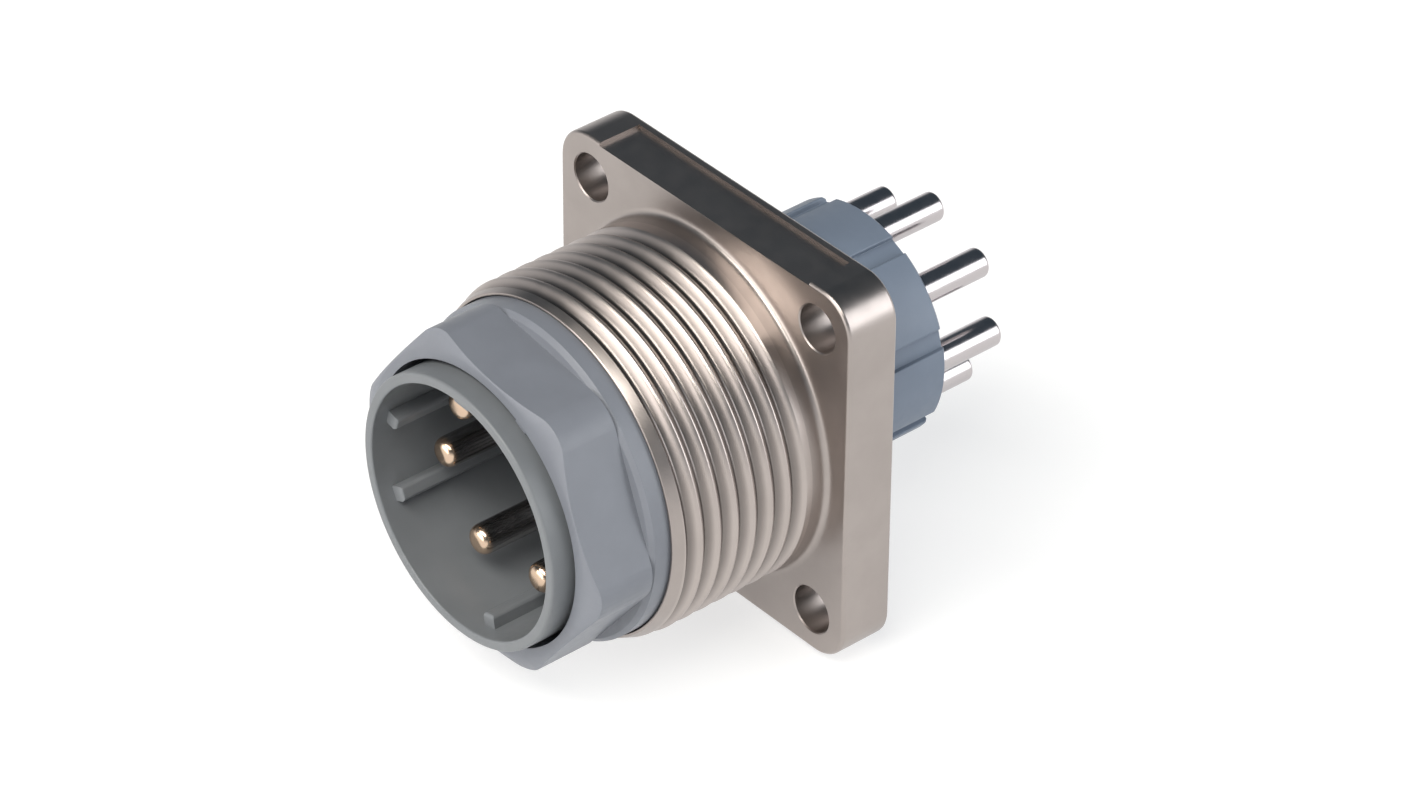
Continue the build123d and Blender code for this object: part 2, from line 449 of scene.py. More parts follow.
class Sketch(NodeSheet):
    """A material's node tree, with the patterns that the finishes share."""

    spread_from: Point = (0.3, 0.7)
    blend_from: Point = (0.35, 0.65)

    def __init__(self, name: str) -> None:
        """Starts a material with a shader and an output.

        Args:
            name: Name of the material.
        """
        self.material = bpy.data.materials.new(name)
        self.material.use_nodes = True
        super().__init__(self.material.node_tree)
        self.output = self.tree.nodes.new("ShaderNodeOutputMaterial")
        self.shader = self.tree.nodes.new("ShaderNodeBsdfPrincipled")
        self.link(self.shader.outputs["BSDF"], self.output.inputs["Surface"])
        self.place = self.node("TexCoord", {}, "Object")

    def noise(self, grain: Grain) -> Socket:
        """Noise on the object's own coordinates.

        Args:
            grain: Its size, octaves and stretch.

        Returns:
            The noise value.
        """
        place = self.node("Mapping", {"Vector": self.place, "Scale": grain.stretch}, "Vector")
        inputs = {"Vector": place, "Scale": 1.0 / (grain.size * MM), "Detail": grain.detail}
        return self.node("TexNoise", inputs, "Fac")

    def spread(self, grain: Grain, low: float, high: float) -> Socket:
        """Maps the middle of a noise onto a range.

        Args:
            grain: The noise.
            low: Result where the noise is low.
            high: Result where the noise is high.

        Returns:
            The mapped value.
        """
        start, stop = self.spread_from
        inputs = {"Value": self.noise(grain), "From Min": start, "From Max": stop,
                  "To Min": low, "To Max": high}
        return self.node("MapRange", inputs, "Result")

    def colours(self, grain: Grain, dark: Triple, light: Triple) -> Socket:
        """Blends two colours by a noise.

        Args:
            grain: The noise.
            dark: Colour where the noise is low.
            light: Colour where the noise is high.

        Returns:
            The blended colour.
        """
        ramp = self.tree.nodes.new("ShaderNodeValToRGB")
        for stop, position, colour in zip(ramp.color_ramp.elements, self.blend_from, (dark, light)):
            stop.position = position
            stop.color = (*colour, 1.0)
        self.link(self.noise(grain), ramp.inputs["Fac"])
        return ramp.outputs["Color"]

    def bump(self, grain: Grain, depth: float) -> None:
        """Adds a relief on top of what the shader already has.

        Args:
            grain: The noise that gives the relief.
            depth: Its depth.
        """
        normal = self.shader.inputs["Normal"]
        inputs = {"Height": self.noise(grain), "Strength": 1.0, "Distance": depth * MM}
        if normal.is_linked:
            inputs["Normal"] = normal.links[0].from_socket
        self.link(self.node("Bump", inputs, "Normal"), normal)


@dataclass(frozen=True)
class SatinMetal:
    """Plated metal with a fine blasted grain, darkened with painted shade where it lies below a given radius
    in the thread's grooves, and lightened with a painted highlight on its crests.
    """

    name: str
    dark: Triple
    light: Triple
    roughness: tuple[float, float]
    cloud: Grain = Grain(3.0, 4.0)
    patches: Grain = Grain(1.2, 3.0)
    grain: Grain = Grain(0.12, 2.0)
    grain_depth: float = 0.0012
    # The radii, ends and tones below paint shade into the thread's grooves and a highlight onto its crests.
    painted_shade_radius: float = 0.0
    painted_highlight_radius: float = 0.001
    painted_shade_front: float = 0.0
    painted_shade_back: float = 0.0
    painted_shade_tone: float = 1.0
    painted_highlight_tone: float = 1.0

    def painted_groove_light(self, sketch: Sketch) -> Socket:
        """How much of the metal's brightness is left, by the distance from the axis: painted shade in the
        thread's grooves and a painted highlight on its crests, only along the threaded length.

        Args:
            sketch: The material that is built.

        Returns:
            The share of the brightness.
        """
        across = sketch.node("VectorMath", {0: sketch.place, 1: (1, 0, 1)}, "Vector", operation="MULTIPLY")
        distance = sketch.node("VectorMath", {0: across}, "Value", operation="LENGTH")
        tone = sketch.node("MapRange", {
            "Value": distance, "From Min": self.painted_shade_radius * MM, "From Max": self.painted_highlight_radius * MM,
            "To Min": self.painted_shade_tone, "To Max": self.painted_highlight_tone}, "Result")
        along = sketch.node("SeparateXYZ", {"Vector": sketch.place}, "Y")
        middle = (self.painted_shade_front + self.painted_shade_back) / 2 * MM
        reach = (self.painted_shade_back - self.painted_shade_front) / 2 * MM
        between = sketch.node("Math", {0: along, 1: middle, 2: reach}, "Value", operation="COMPARE")
        return sketch.node("MapRange", {"Value": between, "To Min": 1.0, "To Max": tone}, "Result")

    def build(self) -> Material:
        """Makes the material.

        Returns:
            The finished material.
        """
        sketch = Sketch(self.name)
        sketch.shader.inputs["Metallic"].default_value = 1.0
        colour = sketch.colours(self.cloud, self.dark, self.light)
        # The colour is scaled by the painted shade in the grooves and the painted highlight on the crests.
        toned = sketch.node("VectorMath", {"Vector": colour, "Scale": self.painted_groove_light(sketch)}, "Vector",
                            operation="SCALE")
        sketch.link(toned, sketch.shader.inputs["Base Color"])
        sketch.link(sketch.spread(self.patches, *self.roughness), sketch.shader.inputs["Roughness"])
        sketch.bump(self.grain, self.grain_depth)
        return sketch.material


@dataclass(frozen=True)
class MouldedPlastic:
    """Moulded plastic with an even, slightly eroded skin."""

    name: str
    dark: Triple
    light: Triple
    roughness: tuple[float, float]
    shine: float = 0.4
    cloud: Grain = Grain(2.5, 5.0)
    patches: Grain = Grain(0.6, 3.0)
    grain: Grain = Grain(0.15, 2.0)
    grain_depth: float = 0.0012
    waves: Grain = Grain(4.0, 1.0)
    wave_depth: float = 0.0036

    def build(self) -> Material:
        """Makes the material.

        Returns:
            The finished material.
        """
        sketch = Sketch(self.name)
        sketch.shader.inputs["Specular IOR Level"].default_value = self.shine
        sketch.link(sketch.colours(self.cloud, self.dark, self.light), sketch.shader.inputs["Base Color"])
        sketch.link(sketch.spread(self.patches, *self.roughness), sketch.shader.inputs["Roughness"])
        sketch.bump(self.grain, self.grain_depth)
        sketch.bump(self.waves, self.wave_depth)
        return sketch.material


@dataclass(frozen=True)
class PlatedPin:
    """Plated turned metal: a golden tip, a mating length darkened with painted shade from the cup around it,
    and a bright rear end.
    """

    name: str
    tip: Triple
    painted_shade_shaft: Triple
    rear: Triple
    roughness: tuple[float, float]
    shaft_front: float = -19.3
    rear_front: float = -9.0
    blend: float = 0.3
    patches: Grain = Grain(0.7, 2.0)
    lines: Grain = Grain(0.08, 1.0, (0.02, 1.0, 0.02))
    line_depth: float = 0.0004

    def build(self, reach: Ends) -> Material:
        """Makes the material.

        Args:
            reach: Where the contacts start and stop.

        Returns:
            The finished material.
        """
        sketch = Sketch(self.name)
        sketch.shader.inputs["Metallic"].default_value = 1.0
        along = sketch.node("SeparateXYZ", {"Vector": sketch.place}, "Y")
        share = sketch.node("MapRange", {
            "Value": along, "From Min": reach.front * MM, "From Max": reach.back * MM}, "Result")
        ramp = sketch.tree.nodes.new("ShaderNodeValToRGB")
        stops = ramp.color_ramp.elements
        first, last = stops
        first.position = self.share(self.shaft_front, reach)
        first.color = (*self.tip, 1.0)
        last.position = self.share(self.rear_front + self.blend, reach)
        last.color = (*self.rear, 1.0)
        # The mating length between the tip and the rear gets the darker colour, which is painted shade from
        # the cup.
        for place in (self.shaft_front + self.blend, self.rear_front):
            stops.new(self.share(place, reach)).color = (*self.painted_shade_shaft, 1.0)
        sketch.link(share, ramp.inputs["Fac"])
        sketch.link(ramp.outputs["Color"], sketch.shader.inputs["Base Color"])
        sketch.link(sketch.spread(self.patches, *self.roughness), sketch.shader.inputs["Roughness"])
        sketch.bump(self.lines, self.line_depth)
        return sketch.material

    @staticmethod
    def share(place: float, reach: Ends) -> float:
        """How far along the contact a place is, from 0 at its front to 1 at its back."""
        return (place - reach.front) / (reach.back - reach.front)


@dataclass(frozen=True)
class Palette:
    """Every finish of the connector."""

    shell: SatinMetal = SatinMetal(
        "satin_nickel", dark=(0.366, 0.326, 0.306), light=(0.392, 0.350, 0.329), roughness=(0.32, 0.37),
        # The last numbers paint shade into the thread's grooves and a highlight onto its crests.
        painted_shade_radius=11.27, painted_highlight_radius=11.65, painted_shade_front=-14.9, painted_shade_back=-5.0,
        painted_shade_tone=0.55, painted_highlight_tone=1.2)
    ring: MouldedPlastic = MouldedPlastic(
        "ring_grey", dark=(0.164, 0.175, 0.201), light=(0.174, 0.186, 0.213), roughness=(0.38, 0.46))
    carrier: MouldedPlastic = MouldedPlastic(
        "carrier_grey", dark=(0.146, 0.156, 0.166), light=(0.157, 0.167, 0.178), roughness=(0.34, 0.42))
    insulator: MouldedPlastic = MouldedPlastic(
        "insulator_blue_grey", dark=(0.150, 0.184, 0.240), light=(0.161, 0.197, 0.256),
        roughness=(0.40, 0.50))
    pin: PlatedPin = PlatedPin(
        # The darker mating-length colour is painted shade from the cup around the contacts.
        "plated_pin", tip=(0.66, 0.49, 0.36), painted_shade_shaft=(0.42, 0.40, 0.39), rear=(0.52, 0.485, 0.490),
        roughness=(0.18, 0.26))
    spring: SatinMetal = SatinMetal(
        "spring_bronze", dark=(0.52, 0.42, 0.30), light=(0.60, 0.49, 0.36), roughness=(0.22, 0.30))
    washer: MouldedPlastic = MouldedPlastic(
        "washer_white", dark=(0.62, 0.62, 0.60), light=(0.68, 0.68, 0.66), roughness=(0.40, 0.50))
    seal: MouldedPlastic = MouldedPlastic(
        "seal_rubber", dark=(0.020, 0.020, 0.021), light=(0.028, 0.028, 0.029), roughness=(0.55, 0.65))


@dataclass(frozen=True)
class Stack:
    """The sizes that several pieces share, so that what fits into another piece follows it."""

    seat_radius: float = 11.1
    bore_radius: float = 10.46
    rear_bore_radius: float = 8.1
    ring_bore_radius: float = 9.41
    collar_play: float = 0.06
    thread_play: float = 0.05
    moulding_play: float = 0.15
    cup_clearance: float = 0.34
    collar_back: float = -14.7
    shoulder: float = -5.6

    def collar_radius(self) -> float:
        """Radius of the clamping ring's collar, in the barrel's seat."""
        return self.seat_radius - self.collar_play

    def tail_radius(self) -> float:
        """Radius of the clamping ring's tail, in the barrel's bore."""
        return self.bore_radius - self.thread_play

    def flange_radius(self) -> float:
        """Radius of the flanges of both mouldings, in the barrel's bore."""
        return self.bore_radius - self.moulding_play

    def cup_radius(self) -> float:
        """Radius of the cup, in the clamping ring's bore."""
        return self.ring_bore_radius - self.cup_clearance

    def insulator_radius(self) -> float:
        """Radius of the rear insulator's lobes, in the barrel's rear bore."""
        return self.rear_bore_radius - self.moulding_play


@dataclass
class Thread:
    """The rounded groove of the outer thread, which runs in from the front rim on the hidden side."""

    pitch: float = 1.38
    depth: float = 0.56
    crest_flat: float = 0.06
    lead_in: float = 0.27
    overshoot: float = 0.25
    turns: int = 7
    start_angle: float = 250.0
    steps: int = 128
    spans: int = 14

    def cutter(self, crest_radius: float, front: float) -> Piece:
        """Makes the helical cutter.

        Args:
            crest_radius: Radius of the barrel.
            front: Where the barrel's front rim is.

        Returns:
            The closed solid to take away from the barrel.
        """
        half = (self.pitch - self.crest_flat) / 2
        outline = [(crest_radius + self.overshoot, -half)]
        for span in range(self.spans + 1):
            offset = half * (2 * span / self.spans - 1)
            sink = self.depth * (1 + cos(2 * pi * offset / self.pitch)) / 2
            outline.append((crest_radius - sink, offset))
        outline.append((crest_radius + self.overshoot, half))
        piece = section("thread_cutter", outline)
        modifier = piece.modifiers.new("screw", "SCREW")
        modifier.axis = "Y"
        modifier.angle = 2 * pi
        modifier.screw_offset = self.pitch * MM
        modifier.iterations = self.turns
        modifier.steps = self.steps
        modifier.render_steps = self.steps
        modifier.use_smooth_shade = False
        apply_modifier(piece, modifier)
        piece.location = (0, (front + self.lead_in) * MM, 0)
        piece.rotation_euler = (0, -radians(self.start_angle), 0)
        settle(piece)
        bpy.ops.object.mode_set(mode="EDIT")
        bpy.ops.mesh.select_all(action="SELECT")
        bpy.ops.mesh.fill_holes(sides=0)
        bpy.ops.mesh.normals_make_consistent(inside=False)
        bpy.ops.object.mode_set(mode="OBJECT")
        return piece


@dataclass
class Housing:
    """Square flange and threaded barrel, one piece of plated metal."""

    ends: Ends
    stack: Stack
    flange_side: float = 27.0
    flange_thickness: float = 3.8
    corner_radius: float = 2.6
    corner_spans: int = 14
    edge_round: float = 0.25
    edge_spans: int = 4
    hole_pitch: float = 21.1
    hole_radius: float = 1.6
    hole_bevel: float = 0.08
    hole_past: float = 0.5
    label_angle: float = 90.0
    label_length: float = 19.5
    label_lip: float = 0.6
    label_depth: float = 0.22
    barrel_radius: float = 11.8
    rim_round: float = 0.08
    front_bevel_depth: float = 0.5
    front_bevel_length: float = 1.3
    front_bevel_round: float = 0.2
    foot_round: float = 0.5
    foot_reach: float = 1.0
    foot_buried: float = 0.5
    barrel_spans: int = 5
    seat_ease_depth: float = 0.06
    seat_ease_length: float = 0.1
    rear_bevel: float = 0.2
    past: float = 1.0
    thread: Thread = field(default_factory=Thread)

    def plate(self) -> Piece:
        """The flange with round corners and softened rims.

        Returns:
            The plate.
        """
        half = self.flange_side / 2
        front = -self.flange_thickness
        plate = bar("housing_shell", front, 0, 0, -half, half, self.flange_side)
        bevel_edges(plate, runs_along_axis, self.corner_radius, self.corner_spans)

        def on_rim(middle: Vector, along: Vector) -> bool:
            """Whether an edge lies round the front or the rear face."""
            return abs(along.y) < SQUARE and min(abs(middle.y), abs(middle.y - front)) < NEAR

        bevel_edges(plate, on_rim, self.edge_round, self.edge_spans)
        return plate

    def barrel(self) -> Piece:
        """The outside of the barrel, solid, from its front rim into the flange.

        Returns:
            The barrel.
        """
        front = self.ends.front
        foot = -self.flange_thickness
        outline = [
            (0, front), (self.barrel_radius - self.front_bevel_depth, front),
            (self.barrel_radius, front + self.front_bevel_length), (self.barrel_radius, foot),
            (self.barrel_radius + self.foot_reach, foot),
            (self.barrel_radius + self.foot_reach, foot + self.foot_buried), (0, foot + self.foot_buried)]
        rounding = {1: self.rim_round, 2: self.front_bevel_round, 3: self.foot_round}
        return turned("barrel", softened(outline, rounding, self.barrel_spans), OUTSIDE_STEPS)

    def bore(self) -> Piece:
        """The stepped room inside.

        Returns:
            The solid to take away.
        """
        front = self.ends.front
        seat = self.stack.seat_radius
        middle = self.stack.bore_radius
        rear = self.stack.rear_bore_radius
        shoulder = self.stack.shoulder
        outline = [
            (0, front - self.past), (seat + self.past / 2, front - self.past),
            (seat + self.seat_ease_depth, front), (seat, front + self.seat_ease_length),
            (seat, self.stack.collar_back), (middle, self.stack.collar_back),
            (middle, shoulder), (rear, shoulder), (rear, -self.rear_bevel),
            (rear + self.rear_bevel, 0), (rear + self.rear_bevel, self.past), (0, self.past)]
        return turned("bore", outline, BORE_STEPS)

    def screw_hole(self) -> Piece:
        """One screw hole with eased mouths, on the axis.

        Returns:
            The solid to take away.
        """
        front = -self.flange_thickness
        mouth = self.hole_radius + self.hole_bevel
        outline = [
            (0, front - self.hole_past), (mouth + self.hole_past, front - self.hole_past), (mouth, front),
            (self.hole_radius, front + self.hole_bevel), (self.hole_radius, -self.hole_bevel),
            (mouth, 0), (mouth + self.hole_past, self.hole_past), (0, self.hole_past)]
        return turned("screw_hole", outline, SMALL_STEPS)

    def drill(self, shell: Piece) -> None:
        """Cuts the four screw holes.

        Args:
            shell: The housing so far.
        """
        hole = self.screw_hole()
        half = self.hole_pitch / 2
        for x in (-half, half):
            for z in (-half, half):
                combine(shell, copied(hole, "corner_hole", Vector((x, 0, z)) * MM), Cut.TAKE_AWAY)
        bpy.data.objects.remove(hole)

    def build(self, material: Material) -> None:
        """Makes the housing.

        Args:
            material: Its finish.
        """
        shell = self.plate()
        combine(shell, self.barrel(), Cut.JOIN)
        combine(shell, self.bore(), Cut.TAKE_AWAY)
        self.drill(shell)
        top = self.flange_side / 2
        label = bar("label", -self.flange_thickness - self.past, -self.label_lip, self.label_angle,
                    top - self.label_depth, top + self.past, self.label_length)
        combine(shell, label, Cut.TAKE_AWAY)
        combine(shell, self.thread.cutter(self.barrel_radius, self.ends.front), Cut.TAKE_AWAY)
        clean(shell)
        finish_shading(shell)
        hand_over(shell, material, "housing")


@dataclass
class ClampRing:
    """Plastic ring with a hexagon, a round collar and a tail inside the barrel."""

    ends: Ends
    stack: Stack
    sides: int = 6
    across_flats: float = 20.2
    corner_angle: float = 51.8
    corner_round: float = 2.6
    corner_spans: int = 12
    face_radius: float = 9.95
    bevel_length: float = 0.62
    bevel_past: float = 0.4
    hexagon_length: float = 4.5
    collar_bevel: float = 0.3
    neck_wall: float = 0.4
    neck_length: float = 1.0
    bore_past: float = 1.0
    tooth_angle: float = 62.0
    tooth_width: float = 1.0
    tooth_height: float = 0.25
    tooth_length: float = 1.2
    tooth_setback: float = 0.05
    edge_softening: float = 0.09
    edge_spans: int = 3

    def hexagon(self) -> Piece:
        """The hexagon with rounded corners and its turned front bevel, still solid.

        Returns:
            The hexagon.
        """
        half = self.across_flats / 2
        half_side_angle = pi / self.sides
        face = self.ends.front
        hexagon_back = face + self.hexagon_length
        sharp_radius = half / cos(half_side_angle)
        corner_radius = (half - self.corner_round) / cos(half_side_angle) + self.corner_round
        corners = []
        for index in range(self.sides):
            turn = radians(self.corner_angle) + 2 * index * half_side_angle
            corners.append((sharp_radius * cos(turn), sharp_radius * sin(turn)))
        head = prism("clamp_ring_head", corners, hexagon_back, face)
        bevel_edges(head, runs_along_axis, self.corner_round * tan(half_side_angle), self.corner_spans)
        past = self.bevel_past
        slope = (corner_radius - self.face_radius) / self.bevel_length
        cone = turned("head_bevel", [
            (0, face - past), (self.face_radius - slope * past, face - past),
            (corner_radius + slope * past, face + self.bevel_length + past),
            (corner_radius + slope * past, hexagon_back + past), (0, hexagon_back + past)], OUTSIDE_STEPS)
        combine(head, cone, Cut.KEEP_COMMON)
        return head

    def collar(self) -> Piece:
        """The round collar with its neck in the hexagon and its tail, still solid.

        Returns:
            The collar.
        """
        neck_radius = self.stack.ring_bore_radius + self.neck_wall
        front = self.ends.front + self.hexagon_length
        radius = self.stack.collar_radius()
        tail_radius = self.stack.tail_radius()
        return turned("collar", [
            (0, front - self.neck_length), (neck_radius, front - self.neck_length), (neck_radius, front),
            (radius - self.collar_bevel, front), (radius, front + self.collar_bevel),
            (radius, self.stack.collar_back), (tail_radius, self.stack.collar_back),
            (tail_radius, self.ends.back), (0, self.ends.back)], OUTSIDE_STEPS)

    def build(self, material: Material) -> None:
        """Makes the ring.

        Args:
            material: Its finish.
        """
        face, back = self.ends
        radius = self.stack.ring_bore_radius
        ring = self.hexagon()
        combine(ring, self.collar(), Cut.JOIN)
        bore = rod("ring_bore", radius, face - self.bore_past, back + self.bore_past, BORE_STEPS)
        combine(ring, bore, Cut.TAKE_AWAY)
        tooth = bar("tooth", face + self.tooth_setback, face + self.tooth_length, self.tooth_angle,
                    radius - self.tooth_height, radius + self.tooth_height, self.tooth_width)
        combine(ring, tooth, Cut.JOIN)
        clean(ring)
        ring.name = "clamp_ring_grey"
        soften_edges(ring, self.edge_softening, self.edge_spans)
        finish_shading(ring)
        hand_over(ring, material, "clamp_ring")


@dataclass
class ContactRing:
    """Where the seven contacts stand, and their shape."""

    ends: Ends
    seat_front: float
    ring_radius: float = 5.78
    step: float = 48.0
    count: int = 6
    earth_angle: float = 244.7
    pin_radius: float = 1.0
    tip_radius: float = 0.75
    collar_radius: float = 1.6
    collar_length: float = 1.4
    tail_bevel: float = 0.25
    tip_spans: int = 8
    crisp_angle: float = 40.0
    hole_play: float = 0.02
    hole_past: float = 1.0

    def angles(self) -> dict[str, float]:
        """Where each contact stands.

        Returns:
            The name of each contact's node to its angle.
        """
        earth_step = (360.0 - (self.count - 1) * self.step) / 2
        places = {"earth_contact": self.earth_angle}
        for index in range(self.count):
            places[f"contact_{index + 1}"] = self.earth_angle + earth_step + index * self.step
        return places

    def middle(self, angle: float) -> Vector:
        """The place of a contact on the ring, in metres."""
        turn = radians(angle)
        return Vector((self.ring_radius * cos(turn), 0, self.ring_radius * sin(turn))) * MM

    def drill(self, body: Piece, front: float, back: float) -> None:
        """Cuts the seven holes of the contacts.

        Args:
            body: The moulding that holds the contacts.
            front: Where the holes start along Y.
            back: Where they end.
        """
        hole = rod("contact_hole", self.pin_radius + self.hole_play, front - self.hole_past,
                   back + self.hole_past, CONTACT_HOLE_STEPS)
        for angle in self.angles().values():
            combine(body, copied(hole, "ring_hole", self.middle(angle)), Cut.TAKE_AWAY)
        bpy.data.objects.remove(hole)

    def build(self, material: Material) -> None:
        """Makes the contacts: one is turned on the axis, and the seven are its copies.

        Args:
            material: Their finish.
        """
        front, back = self.ends
        seat = self.seat_front
        outline = [
            (0, front), (self.pin_radius, front), (self.pin_radius, seat), (self.collar_radius, seat),
            (self.collar_radius, seat + self.collar_length), (self.pin_radius, seat + self.collar_length),
            (self.pin_radius, back), (0, back)]
        profile = softened(outline, {1: self.tip_radius, 6: self.tail_bevel}, self.tip_spans)
        master = turned("contact", profile, SMALL_STEPS)
        for node, angle in self.angles().items():
            pin = copied(master, f"{node}_pin", self.middle(angle))
            finish_shading(pin, self.crisp_angle)
            hand_over(pin, material, node)
        bpy.data.objects.remove(master)


@dataclass
class Carrier:
    """The front moulding: cup, keys and floor."""

    ends: Ends
    washer: Ends
    stack: Stack
    contacts: ContactRing
    cup_wall: float = 0.7
    rim_round: float = 0.15
    rim_outer_round: float = 0.2
    floor_thickness: float = 2.4
    floor_round: float = 0.3
    round_spans: int = 6
    key_angles: tuple[float, ...] = (165.0, 204.0, 281.0)
    key_width: float = 1.0
    key_height: float = 0.9
    key_setback: float = 1.1
    guide_angle: float = 87.0
    guide_width: float = 1.3
    guide_height: float = 0.45
    rib_root: float = 0.3
    rib_buried: float = 0.2
    rib_round: float = 0.25
    rib_round_share: float = 0.6
    rib_spans: int = 4

    def inner_radius(self) -> float:
        """Radius of the cup's wall inside."""
        return self.stack.cup_radius() - self.cup_wall

    def floor_y(self) -> float:
        """Where the cup's floor is along the axis."""
        return self.ends.back - self.floor_thickness

    def rib(self, name: str, front: float, angle: float, height: float, width: float) -> Piece:
        """One rib on the cup's wall, with soft inner corners.

        Args:
            name: Name of the new object.
            front: Its front end along Y.
            angle: Where it stands, from +X towards +Z.
            height: How far it stands off the wall.
            width: Its width along the wall.

        Returns:
            The rib.
        """
        inner = self.inner_radius() - height
        outer = self.inner_radius() + self.rib_root
        rib = bar(name, front, self.floor_y() + self.rib_buried, angle, inner, outer, width)
        direction = Vector((cos(radians(angle)), 0, sin(radians(angle))))

        def inner_edge(middle: Vector, _along: Vector) -> bool:
            """Whether an edge lies on the rib's inner side."""
            return middle.dot(direction) < inner + NEAR

        bevel_edges(rib, inner_edge, min(self.rib_round, height * self.rib_round_share), self.rib_spans)
        return rib

    def build(self, material: Material) -> None:
        """Makes the carrier.

        Args:
            material: Its finish.
        """
        rim, back = self.ends
        floor = self.floor_y()
        inner = self.inner_radius()
        outer = self.stack.cup_radius()
        flange = self.stack.flange_radius()
        outline = [
            (0, floor), (inner, floor), (inner, rim), (outer, rim), (outer, self.washer.back),
            (flange, self.washer.back), (flange, back), (0, back)]
        rounding = {1: self.floor_round, 2: self.rim_round, 3: self.rim_outer_round}
        body = turned("contact_carrier_cup", softened(outline, rounding, self.round_spans), OUTSIDE_STEPS)
        for index, angle in enumerate(self.key_angles):
            key_front = rim + self.key_setback
            key = self.rib(f"key_{index}", key_front, angle, self.key_height, self.key_width)
            combine(body, key, Cut.JOIN)
        guide_front = rim + self.rim_round
        guide = self.rib("guide", guide_front, self.guide_angle, self.guide_height, self.guide_width)
        combine(body, guide, Cut.JOIN)
        self.contacts.drill(body, floor, back)
        clean(body)
        finish_shading(body)
        hand_over(body, material, "contact_carrier")


@dataclass
class RearInsulator:
    """The rear moulding with its lobes between the grooves."""

    ends: Ends
    stack: Stack
    contacts: ContactRing
    edge_bevel: float = 0.2
    bevel_past: float = 0.6
    groove_width: float = 1.3
    groove_depth: float = 0.42
    groove_round: float = 0.14
    groove_spans: int = 4
    lobe_steps: int = 18

    def groove_angles(self) -> list[float]:
        """Where the grooves lie.

        Returns:
            The angles half-way between neighbouring contacts.
        """
        places = sorted(angle % 360 for angle in self.contacts.angles().values())
        following = places[1:] + [places[0] + 360]
        return [(one + two) / 2 for one, two in zip(places, following)]

    def lobed_outline(self) -> list[Point]:
        """The round section with its flat-bottomed grooves, their edges rounded.

        Returns:
            The corners, in order.
        """
        radius = self.stack.insulator_radius()
        floor_radius = radius - self.groove_depth
        half_width = self.groove_width / 2
        half_angle = asin(half_width / radius)
        places = [radians(angle) for angle in self.groove_angles()]
        following = places[1:] + [places[0] + 2 * pi]
        points: list[Point] = []
        rounded: dict[int, float] = {}
        for place, after in zip(places, following):
            for side in (-half_width, half_width):
                rounded[len(points)] = self.groove_round / 2
                points.append((floor_radius * cos(place) - side * sin(place),
                               floor_radius * sin(place) + side * cos(place)))
            first = place + half_angle
            last = after - half_angle
            for step in range(self.lobe_steps + 1):
                turn = first + (last - first) * step / self.lobe_steps
                if step in (0, self.lobe_steps):
                    rounded[len(points)] = self.groove_round
                points.append((radius * cos(turn), radius * sin(turn)))
        return softened(points, rounded, self.groove_spans)

    def lobes(self) -> Piece:
        """The grooved body with its rear bevel, from inside the flange, without the holes.

        Returns:
            The body.
        """
        start = (self.ends.front + self.stack.shoulder) / 2
        back = self.ends.back
        past = self.bevel_past
        radius = self.stack.insulator_radius()
        body = prism("rear_insulator_lobed", self.lobed_outline(), start, back)
        cone = turned("rear_bevel", [
            (0, start - past), (radius + past, start - past), (radius + past, back - self.edge_bevel - past),
            (radius - self.edge_bevel - past, back + past), (0, back + past)], OUTSIDE_STEPS)
        combine(body, cone, Cut.KEEP_COMMON)
        return body

    def build(self, material: Material) -> None:
        """Makes the insulator.

        Args:
            material: Its finish.
        """
        front, back = self.ends
        radius = self.stack.flange_radius()
        body = self.lobes()
        flange = rod("insulator_flange", radius, front, self.stack.shoulder, OUTSIDE_STEPS)
        combine(body, flange, Cut.JOIN)
        self.contacts.drill(body, front, back)
        clean(body)
        finish_shading(body)
        hand_over(body, material, "rear_insulator")


@dataclass(frozen=True)
class SoftBox:
    """One lamp, given by the direction it comes from, how wide and high it looks and how bright."""

    name: str
    direction: Triple
    width: float
    height: float
    radiance: float
    colour: Triple
    distance: float = 600.0

    def span(self, angle: float) -> float:
        """The length in metres that fills an angle at the lamp's distance."""
        return 2 * self.distance * MM * tan(radians(angle) / 2)

    def power(self) -> float:
        """The power in watts that gives its radiance."""
        return self.radiance * pi * self.span(self.width) * self.span(self.height)


